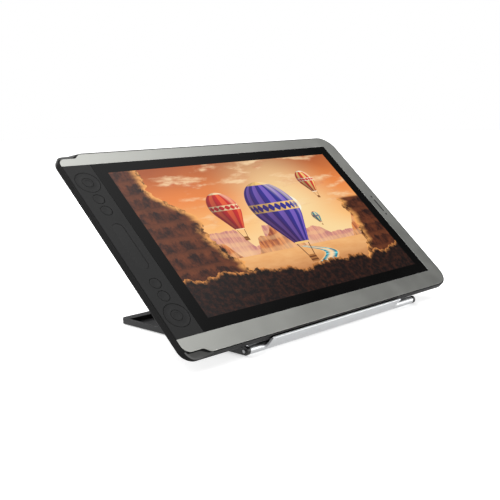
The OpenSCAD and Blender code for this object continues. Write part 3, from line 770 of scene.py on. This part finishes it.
def front_frame():
    left, e = LEFT + WALL, FRAME_INSET
    low, high, side = glass0.y - SEAM, glass1.y + SEAM, glass1.x + SEAM
    lower = [p for p in reversed(scoop_outline()) if p[0] >= left - 0.01 and p[1] > 0]
    right = arc(RIGHT - FAR_CORNER, FAR_CORNER, FAR_CORNER - e, -90, 0, 16)
    outer = [(left, low)] + lower + right + flipped(right) + flipped(lower)
    inner = [(left, high), (side, high), (side, low)]
    return plate("front_frame_sheet", [outer + inner] + inlay_loops(0.06), 0.0, -1.0, 0.16)


grey_sheet = coated("warm grey anodised", (0.46, 0.465, 0.437), 0.38, 0.16, 0.3, 0.05, metallic=1.0, edge=0.6)
fitted(front_frame(), [grey_sheet], ["front_frame"])
eased("trim_inlay", coated("inlay plastic", (0.02, 0.02, 0.02), 0.35, 0.2), 0.08)


# ---- Cover glass with the lit picture ----
# One pane of etched glass, printed black from behind round the picture. The picture is a
# canyon at sunset with hot-air balloons, painted for this screen.

class Tone:
    """A number that changes over the screen: a node socket that takes plain arithmetic."""

    def __init__(self, tree, socket):
        self.tree, self.socket = tree, socket

    def of(self, operation, *others):
        """This number put through a math node, with the others after it."""
        others = (getattr(other, "socket", other) for other in others)
        return Tone(self.tree, calc(self.tree, operation, self.socket, *others))

    def step(self, low, high):
        """0 up to low and 1 from high on, or the other way round where high is the lower one."""
        return Tone(self.tree, ranged(self.tree, self.socket, low, high))

    def __add__(self, other):
        return self.of("ADD", other)

    def __sub__(self, other):
        return self.of("SUBTRACT", other)

    def __rsub__(self, other):
        return Tone(self.tree, calc(self.tree, "SUBTRACT", other, self.socket))

    def __mul__(self, other):
        return self.of("MULTIPLY", other)

    def __truediv__(self, other):
        return self.of("DIVIDE", other)

    def __abs__(self):
        return self.of("ABSOLUTE")

    __radd__ = __add__


class Painting:
    """Layers painted with shader nodes over x (0 to 1.78) and y (0 to 1) of the screen."""

    def __init__(self, tree):
        self.tree = tree
        uv = add(tree, "ShaderNodeUVMap", uv_map="picture").outputs[0]
        parts = add(tree, "ShaderNodeSeparateXYZ", {0: uv}).outputs
        self.x, self.y = Tone(tree, parts[0]) * (16 / 9), Tone(tree, parts[1])
        self.colour = None

    def noise(self, x, y, detail=3.0, rough=0.5):
        x, y = (getattr(value, "socket", value) for value in (x, y))
        where = add(self.tree, "ShaderNodeCombineXYZ", {0: x, 1: y}).outputs[0]
        clouds = add(self.tree, "ShaderNodeTexNoise", {"Vector": where, "Scale": 1.0, "Detail": detail,
                                                       "Roughness": rough})
        return Tone(self.tree, clouds.outputs["Fac"])

    def shade(self, value, stops):
        """A colour ramp over value, through stops of (place, colour)."""
        ramp = add(self.tree, "ShaderNodeValToRGB", {0: value.socket})
        line = ramp.color_ramp.elements
        while len(line) < len(stops):
            line.new(0.5)
        for element, (place, colour) in zip(line, stops):
            element.position = place
            element.color = (*colour, 1)
        return ramp.outputs[0]

    def blend(self, mask, first, second):
        return mix(self.tree, getattr(mask, "socket", mask), first, second)

    def lay(self, mask, colour):
        """Puts a colour over what is painted so far, where mask is 1."""
        self.colour = self.blend(mask, self.colour, colour)


def paint_sky(art):
    """Sunset sky with a sun and clouds that are lit from its side."""
    x, y = art.x, art.y
    drift = art.noise(x * 1.4, y * 3.0) * 0.22
    art.colour = art.shade(y + drift - 0.11, [(0.34, (1.0, 0.72, 0.36)), (0.52, (1.0, 0.5, 0.17)),
                                              (0.74, (0.86, 0.25, 0.06)), (1.0, (0.42, 0.1, 0.03))])
    across, up = x - 1.13, y - 0.62
    from_sun = (across * across + up * up).of("SQRT")
    art.lay(from_sun.step(0.62, 0.0) * 0.85, (1.0, 0.8, 0.42))
    art.lay(from_sun.step(0.078, 0.072), (1.0, 0.95, 0.75))
    puffs, above = (art.noise(x * 2.6, y * 8.5 + shift, 6, 0.58) for shift in (4.0, 4.35))
    clouds = puffs.step(0.5, 0.66) * y.step(0.45, 0.62) * 0.85
    side = (above - puffs).step(-0.06, 0.07)
    art.lay(clouds, art.blend(side, (1.0, 0.72, 0.42), (0.62, 0.16, 0.08)))


def paint_mesas(art, base, height, wide, seed, light, dark, haze, lines):
    """A row of flat-topped rocks: steep sides, level tops, layered stone and haze at the foot."""
    x, y = art.x, art.y
    along = art.noise(x * wide + seed, seed, 2, 0.4)
    broken = art.noise(x * (wide * 9) + seed, seed + 3, 3, 0.6)
    top = base + along.step(0.47, 0.53) * height + along.step(0.58, 0.61) * (height * 0.5) + broken * 0.05
    depth = top - y
    wavy = art.noise(x * 3.0, y * 3.0)
    layer = (y * lines + wavy * 9.0).of("SINE")
    cracks = art.noise(x * (wide * 26), y * 6.0, 4, 0.65)
    stone = art.blend(cracks.step(0.36, 0.64), dark, light)
    stone = art.blend(layer.step(-0.4, 0.9) * 0.35, stone, (1.0, 0.62, 0.3))
    mist = depth.step(0.02, height + 0.1) * haze
    art.lay(depth.step(0.0, 0.006), art.blend(mist, stone, (1.0, 0.62, 0.34)))


def paint_valley(art):
    """The valley floor with a winding river that mirrors the sky."""
    x, y = art.x, art.y
    floor = y.step(0.305, 0.3)
    rough = art.noise(x * 7.0, y * 26.0, 5, 0.6)
    far_ground = art.blend(rough, (0.8, 0.33, 0.1), (1.0, 0.6, 0.26))
    near_ground = art.blend(rough, (0.2, 0.05, 0.02), (0.62, 0.2, 0.06))
    art.lay(floor, art.blend(y.step(0.3, 0.05), far_ground, near_ground))
    bend = (y * 34.0).of("SINE") * 0.075
    middle = 1.02 + (y - 0.3) * -0.75 + bend
    half = 0.018 + (0.3 - y) * 0.42
    ratio = abs(x - middle) / half
    ripples = art.noise(x * 9.0, y * 120.0, 3, 0.6)
    sheen = art.blend(ripples.step(0.45, 0.68), (0.02, 0.22, 0.3), (0.2, 0.8, 0.85))
    mirrored_sky = art.blend(ripples, (1.0, 0.6, 0.3), (1.0, 0.85, 0.55))
    art.lay(floor * ratio.step(1.0, 0.93), art.blend(ratio.step(0.75, 0.1), sheen, mirrored_sky))
    art.lay(floor * ratio.step(1.35, 1.0) * ratio.step(0.98, 1.02), (0.95, 0.62, 0.3))


def paint_balloon(art, cx, cy, r, first, second, band, gores):
    """A striped hot-air balloon lit from the right, with its skirt, lines and basket."""
    dx, dy = (art.x - cx) * (1 / r), (art.y - cy) * (1 / r)
    dome = (1.0 - dy * dy).of("MAXIMUM", 0.0).of("SQRT")
    cone = (1.155 + dy * 0.577).of("MAXIMUM", 0.0)
    low = dy.of("LESS_THAN", -0.5)
    ratio = dx / (dome * (1.0 - low) + cone * low + 0.0001)
    soft = 0.012 / r * 0.17
    turn = ratio.of("MAXIMUM", -1.0).of("MINIMUM", 1.0).of("ARCSINE")
    stripe = (turn * gores).of("SINE")
    cloth = art.blend(stripe.step(-0.08, 0.08), first, second)
    ring = dy.step(-0.22, -0.2) * dy.step(0.14, 0.12)
    teeth = (abs(dy + 0.04) - abs(stripe) * 0.13).step(0.0, 0.015)
    cloth = art.blend(ring, cloth, art.blend(teeth, first, band))
    cloth = art.blend(dy.step(0.86, 0.88), cloth, band)
    puff = abs((turn * (gores * 0.5)).of("COSINE")) * 0.25
    light = ratio * 0.55 + dy * 0.3 + puff + 0.25
    shaded = art.blend(0.75, cloth, (0.05, 0.01, 0.02))
    cloth = art.blend(light.step(-0.35, 0.9), shaded, cloth)
    cloth = art.blend(light.step(0.75, 1.1) * 0.4, cloth, (1.0, 0.85, 0.6))
    art.lay(abs(ratio).step(1.0, 1.0 - soft) * dy.step(-1.45, -1.43), cloth)
    skirt = abs(dx).step(0.3, 0.28) * dy.step(-1.5, -1.49) * dy.step(-1.42, -1.43)
    art.lay(skirt, band)
    from_line = abs(abs(dx) - (0.62 + dy * 0.25))
    ropes = from_line.step(0.025, 0.01) * dy.step(-1.95, -1.94) * dy.step(-1.49, -1.5)
    art.lay(ropes, (0.12, 0.04, 0.02))
    weave = (dy * 60.0).of("SINE").step(-0.3, 0.3)
    basket = abs(dx).step(0.16, 0.15) * dy.step(-2.2, -2.19) * dy.step(-1.93, -1.94)
    art.lay(basket, art.blend(weave, (0.16, 0.05, 0.015), (0.42, 0.17, 0.05)))


def paint_rocks(art):
    """Dark cliffs in the shade on both sides and in front, with a rim of warm light."""
    x, y = art.x, art.y
    for lean, place, rise, seed in ((1, 0.3, 0.42, 7.0), (-1, 1.62, -0.3, 19.0)):
        ragged = art.noise(seed, y * 4.2 + seed, 4, 0.6)
        ledges = (y * 21.0 + seed).of("SINE").step(-0.3, 0.3)
        edge = place + (0.62 - y) * rise + ragged * (0.34 * lean) + ledges * (0.03 * lean) - 0.17 * lean
        inward = (edge - x) * lean
        mask = inward.step(0.0, 0.006)
        if lean < 0:
            mask = mask * y.step(0.62, 0.6)
        cracks = art.noise(x * 14.0, y * 9.0, 6, 0.7)
        beds = (y * 60.0 + cracks * 7.0).of("SINE")
        stone = art.blend(cracks.step(0.35, 0.7), (0.018, 0.005, 0.004), (0.16, 0.04, 0.014))
        stone = art.blend(beds.step(0.2, 0.9) * 0.4, stone, (0.22, 0.06, 0.02))
        glow = inward.step(0.075, 0.0) * cracks.step(0.38, 0.55)
        art.lay(mask, art.blend(glow, stone, (1.0, 0.45, 0.13)))
    humps = art.noise(x * 3.2, 2.0, 5, 0.62)
    depth = humps * 0.34 + x.step(0.9, 0.2) * 0.07 - y
    grit = art.noise(x * 30.0, y * 30.0, 5, 0.7)
    soil = art.blend(grit.step(0.4, 0.7), (0.006, 0.003, 0.003), (0.05, 0.014, 0.007))
    rim = depth.step(0.03, 0.0) * grit.step(0.35, 0.6)
    art.lay(depth.step(0.0, 0.006), art.blend(rim, soil, (0.85, 0.33, 0.09)))


def lit_picture():
    """The lit screen under the glass: far layers are painted first."""
    material = bpy.data.materials.new("lit picture")
    tree, surface = opened(material)
    art = Painting(tree)
    paint_sky(art)
    paint_mesas(art, 0.34, 0.13, 1.7, 3.0, (0.86, 0.4, 0.26), (0.52, 0.2, 0.2), 0.75, 90.0)
    paint_mesas(art, 0.27, 0.26, 1.3, 11.0, (0.85, 0.3, 0.09), (0.3, 0.07, 0.04), 0.55, 70.0)
    paint_valley(art)
    paint_balloon(art, 1.42, 0.8, 0.075, (0.75, 0.05, 0.03), (1.0, 0.62, 0.2), (0.95, 0.85, 0.65), 8)
    paint_balloon(art, 0.6, 0.66, 0.115, (0.62, 0.02, 0.02), (0.9, 0.12, 0.04), (0.95, 0.7, 0.4), 8)
    paint_balloon(art, 1.26, 0.5, 0.035, (0.02, 0.3, 0.35), (0.8, 0.7, 0.4), (0.6, 0.1, 0.1), 6)
    paint_balloon(art, 0.98, 0.62, 0.2, (0.03, 0.03, 0.3), (0.2, 0.12, 0.55), (0.95, 0.6, 0.2), 12)
    paint_rocks(art)
    tree.links.new(art.colour, surface["Emission Color"])
    surface["Emission Strength"].default_value = 0.95
    surface["Base Color"].default_value = (0.004, 0.004, 0.004, 1)
    surface["Roughness"].default_value = 0.16
    surface["Specular IOR Level"].default_value = 0.2
    return material


def printed_glass():
    """Glass over black print: clean gloss with faint hand marks in its roughness."""
    material = bpy.data.materials.new("printed glass")
    tree, surface = opened(material)
    grained = add(tree, "ShaderNodeGroup", node_tree=GRAIN)
    grained.inputs["Patch"].default_value = 60.0
    mottle = grained.outputs["Mottle"]
    tree.links.new(mix(tree, mottle, (0.0015, 0.0015, 0.0015), (0.003, 0.003, 0.0029)), surface["Base Color"])
    tree.links.new(ranged(tree, mottle, 0.3, 0.7, 0.1, 0.2), surface["Roughness"])
    surface["Specular IOR Level"].default_value = 0.09
    return material


def cover_glass():
    """The pane with an eased rim; its top is split into the printed border and the lit picture."""
    ease, margin = 0.2, 2.5
    picture0, picture1 = span("lcd_cell", face)
    form = bmesh.new()

    def ring(inset, level):
        x0, x1, y0, y1 = glass0.x + inset, glass1.x - inset, glass0.y + inset, glass1.y - inset
        outside = round_rect(x0, x1, y0, y1, 0.6, 0.6, 3)
        return [form.verts.new((x, y, level)) for x, y in outside]

    rings = [ring(0, glass0.z)] + [ring(ease * (1 - math.cos(a)), -ease * (1 - math.sin(a)))
                                   for a in (0, 0.5, 1.1, math.pi / 2)]
    for a, b in zip(rings, rings[1:]):
        stitched(form, a, b)
    form.faces.new(list(reversed(rings[0])))
    x0, x1, y0, y1 = picture0.x + margin, picture1.x - margin, picture0.y + margin, picture1.y - margin
    opening = [form.verts.new((x, y, 0)) for x, y in ((x1, y0), (x1, y1), (x0, y1), (x0, y0))]
    top, per_corner = rings[-1], len(rings[-1]) // 4
    for k in range(4):
        own = [top[(k * per_corner + i) % len(top)] for i in range(per_corner + 1)]
        form.faces.new(own + [opening[(k + 1) % 4], opening[k]])
    form.faces.new(opening).material_index = 1
    uv = form.loops.layers.uv.new("picture")
    for polygon in form.faces:
        for loop in polygon.loops:
            x, y, _ = loop.vert.co
            loop[uv].uv = ((x - x0) / (x1 - x0), (y - y0) / (y1 - y0))
    return laid("cover_glass_pane", form, face)


fitted(cover_glass(), [printed_glass(), lit_picture()], ["cover_glass"])


# ---- Key panel ----
# A flat moulded panel, dark grey, with holes for the keys and rings and a bay for the touch
# bar. Its surface is very fine grained and takes a slight shine from hands.

panel0, panel1 = span("key_panel", face)
bar0, bar1 = span("touch_bar", face)
bar_middle = (bar0 + bar1) / 2
CLEARANCE = 0.4
KEY_FLANGE, RING_FLANGE = 0.8, 0.5


def bar_outline(grow):
    """Outline of the touch bar, made larger by grow on its length and width."""
    slot = slot_outline(bar1.y - bar0.y + grow, bar1.x - bar0.x + grow, 20)
    return [(bar_middle.x - b, bar_middle.y + a) for a, b in slot]


def key_panel():
    holes = []
    for node in ("ring_upper", "ring_lower", "key_one", "key_two", "key_three", "key_four"):
        low, high = span(node, face)
        flange = RING_FLANGE if node.startswith("ring") else KEY_FLANGE
        r = (high.x - low.x) / 2 - flange + CLEARANCE
        holes.append(arc((low.x + high.x) / 2, (low.y + high.y) / 2, r, 0, 360 - 7.5, 47))
    outside = round_rect(panel0.x, panel1.x, panel0.y, panel1.y, 0.4, 0.4, 2)
    return plate("key_panel_moulded", [outside] + holes + [bar_outline(0.3)], 0.0, panel0.z, 0.12)


key_plastic = coated("dark grey key plastic", (0.0145, 0.0145, 0.0145), 0.5, 0.12, 0.25, 0.06,
                     shine=0.2, edge=0.2)
fitted(key_panel(), [key_plastic], ["key_panel"])
bar_plastic = coated("touch bar plastic", (0.0135, 0.0135, 0.0135), 0.42, 0.12, 0.2, 0.06,
                     shine=0.2, edge=0.2)
fitted(plate("touch_bar_cap", [bar_outline(0)], bar1.z, bar0.z, 0.3), [bar_plastic], ["touch_bar"])


# ---- Keys, rings and middle buttons ----
# Moulded caps, flush with the panel: round keys with a shallow dish, and four-way rings with
# a raised pip at each point round a middle button.

def turned(form, profile, cx, cy, steps=64):
    """Adds a turned solid: profile is (radius, level) from the middle of the top round to the
    middle of the bottom, or a closed loop where no radius is zero."""
    closed = all(r > 0 for r, _ in profile)
    rings = []
    for r, level in profile:
        if r == 0:
            rings.append([form.verts.new((cx, cy, level))])
        else:
            rings.append([form.verts.new((cx + r * math.cos(a), cy + r * math.sin(a), level))
                          for a in (2 * math.pi * i / steps for i in range(steps))])
    pairs = list(zip(rings, rings[1:])) + ([(rings[-1], rings[0])] if closed else [])
    for a, b in pairs:
        for i in range(steps):
            j = (i + 1) % steps
            corners = [a[i % len(a)], a[j % len(a)], b[j % len(b)], b[i % len(b)]]
            form.faces.new(list(dict.fromkeys(corners)))


QUARTER = (0, 0.5, 1.05, math.pi / 2)


def outer_ease(r, top, ease):
    """Profile of a rounded outer edge, from the top round to the side."""
    return [(r - ease + ease * math.sin(a), top - ease + ease * math.cos(a)) for a in QUARTER]


def press_cap(node):
    """A round key with a dish and a flange under the panel, or a middle button with a well."""
    low, high = span(node, face)
    flanged = node.startswith("key")
    r = (high.x - low.x) / 2 - (KEY_FLANGE if flanged else 0) - 0.1
    top, foot, stem, ease = high.z, -2.0, 1.6, 0.2
    if flanged:
        dish = 0.22
        curve = ((0, 1), (0.35, 0.86), (0.62, 0.5), (0.82, 0.12))
        profile = [(r * part, top - dish * deep) for part, deep in curve]
    else:
        well = 3.6
        profile = [(0, top - 0.4), (well * 0.6, top - 0.38), (well, top - 0.3), (well + 0.25, top - 0.02),
                   (well + 0.4, top)]
    profile += outer_ease(r, top, ease) + [(r, foot)]
    if flanged:
        foot = -2.65
        profile += [(r + 0.75, -2.05), (r + 0.75, foot)]
    profile += [(stem, foot), (stem, low.z), (0, low.z)]
    form = bmesh.new()
    turned(form, profile, (low.x + high.x) / 2, (low.y + high.y) / 2)
    return laid(node + "_cap", form, face)


def ring_cap(node):
    """A four-way ring with a hollow top, a flange under the panel and four raised pips."""
    low, high = span(node, face)
    cx, cy = (low.x + high.x) / 2, (low.y + high.y) / 2
    outer, inner, top, ease = (high.x - low.x) / 2 - RING_FLANGE - 0.1, 6.3, high.z, 0.2
    bottom, flange = -3.05, 0.45
    inside = [(inner + ease - ease * math.cos(a), top - ease + ease * math.sin(a)) for a in QUARTER]
    hollow = [(inner + (outer - inner) * t, top - 0.2 * math.sin(math.pi * t)) for t in (0.25, 0.5, 0.75)]
    profile = [(inner, bottom)] + inside + hollow + outer_ease(outer, top, ease)
    profile += [(outer, -2.6), (outer + flange, -2.65), (outer + flange, bottom)]
    form = bmesh.new()
    turned(form, profile, cx, cy, 96)
    pip, pip_at = 0.65, 10
    dome = [(0, top + 0.02), (pip * 0.5, top - 0.02), (pip * 0.85, top - 0.12), (pip, top - 0.3),
            (pip, top - 0.6), (0, top - 0.6)]
    for turn in (math.pi / 2 * i for i in range(4)):
        turned(form, dome, cx + pip_at * math.cos(turn), cy + pip_at * math.sin(turn), 16)
    return laid(node + "_cap", form, face)


for node in ("key_one", "key_two", "key_three", "key_four", "middle_upper", "middle_lower"):
    fitted(press_cap(node), [key_plastic], [node])
for node in ("ring_upper", "ring_lower"):
    fitted(ring_cap(node), [key_plastic], [node])


# ---- Side buttons ----
# Three moulded caps in the top edge, for power and for a brighter or dimmer screen.

button_plastic = coated("side button plastic", (0.018, 0.018, 0.018), 0.38, 0.15, 0.2, shine=0.45)
for node in ("power_button", "brighter_button", "dimmer_button"):
    eased(node, button_plastic, 0.25)


# ---- Floor, light and camera ----
# A pale floor that runs out of sight, a wide lamp on the left, a low one in front on the right
# and a strong one behind. Staging: the floor and room are white to the camera only, and darker
# as bounced light and in reflections. The camera stands in front on the left, a little above.

# strengths of the room from above, at the horizon, in front on the left and everywhere; and of the floor
OVERHEAD, HORIZON, SIDE, DARKEST, GLOW = 2.3, 0.18, 0.2, 0.08, 0.5


def pale_floor():
    material = bpy.data.materials.new("pale floor")
    tree, surface = opened(material)
    where = add(tree, "ShaderNodeTexCoord").outputs["Object"]
    cloud = add(tree, "ShaderNodeTexNoise", {"Vector": where, "Scale": 2.0})
    near_white = mix(tree, cloud.outputs["Fac"], (0.92, 0.92, 0.92), (0.94, 0.94, 0.94))
    looked_at = add(tree, "ShaderNodeLightPath").outputs["Is Camera Ray"]
    tree.links.new(mix(tree, looked_at, (0.3, 0.3, 0.3), near_white), surface["Base Color"])
    surface["Emission Color"].default_value = (1, 1, 1, 1)
    surface["Emission Strength"].default_value = GLOW
    surface["Roughness"].default_value = 0.9
    surface["Specular IOR Level"].default_value = 0.1
    return material


def floor():
    form = bmesh.new()
    bmesh.ops.create_circle(form, cap_ends=True, segments=64, radius=6)
    mesh = bpy.data.meshes.new("floor")
    form.to_mesh(mesh)
    form.free()
    thing = bpy.data.objects.new("floor", mesh)
    mesh.materials.append(pale_floor())
    bpy.context.scene.collection.objects.link(thing)


def lamp(name, place, aim, size, power):
    light = bpy.data.lights.new(name, "AREA")
    light.shape, light.size, light.size_y, light.energy = "RECTANGLE", size[0], size[1], power
    thing = bpy.data.objects.new(name, light)
    thing.location = place
    thing.rotation_euler = (Vector(aim) - Vector(place)).to_track_quat("-Z", "Y").to_euler()
    thing.visible_camera = False
    bpy.context.scene.collection.objects.link(thing)


def soft_room():
    """White where it is looked at. Its light comes from a wide dome overhead and from the left in
    front; the right is dark, as by a black curtain, so that glass stays black."""
    world = bpy.data.worlds.new("soft room")
    world.use_nodes = True
    tree = world.node_tree
    way = add(tree, "ShaderNodeTexCoord").outputs["Generated"]
    parts = add(tree, "ShaderNodeSeparateXYZ", {0: way})
    overhead = ranged(tree, parts.outputs[2], 0.62, 0.95, 0.0, OVERHEAD)
    horizon = ranged(tree, parts.outputs[2], 0.4, 0.1, 0.0, HORIZON)
    front = add(tree, "ShaderNodeVectorMath", {0: way, 1: (-0.8, -0.6, 0.1)}, operation="DOT_PRODUCT")
    side = ranged(tree, front.outputs["Value"], 0.0, 0.8, 0.0, SIDE)
    light = calc(tree, "ADD", calc(tree, "ADD", overhead, side), calc(tree, "ADD", horizon, DARKEST))
    seen = add(tree, "ShaderNodeLightPath").outputs["Is Camera Ray"]
    level = add(tree, "ShaderNodeMix", {0: seen, 2: light, 3: 1.0}, data_type="FLOAT").outputs[0]
    tree.links.new(level, tree.nodes["Background"].inputs["Strength"])
    tree.nodes["Background"].inputs["Color"].default_value = (1, 1, 1, 1)
    bpy.context.scene.world = world


floor()
lamp("broad key", (-1.2, -0.6, 1.0), (0, 0, 0.1), (0.8, 0.8), 3)
lamp("low box", (0.9, -1.1, 0.32), (-0.1, -0.1, 0.05), (0.9, 0.55), 6)
lamp("rear box", (-0.1, 1.5, 0.7), (0, 0.05, 0.05), (1.2, 0.6), 22)
soft_room()
bpy.context.scene.view_settings.view_transform = "Standard"

eye = bpy.data.cameras.new("camera")
eye.lens, eye.sensor_width = 61.34, 36
stand_point = bpy.data.objects.new("camera", eye)
stand_point.location = (-0.6892, -0.6443, 0.2372)
yaw, dip, roll = (math.radians(a) for a in (-45.66, 9.64, 1.19))
stand_point.rotation_euler = (Matrix.Rotation(yaw, 3, "Z") @ Matrix.Rotation(math.pi / 2 - dip, 3, "X")
                              @ Matrix.Rotation(-roll, 3, "Z")).to_euler()
bpy.context.scene.collection.objects.link(stand_point)
bpy.context.scene.camera = stand_point
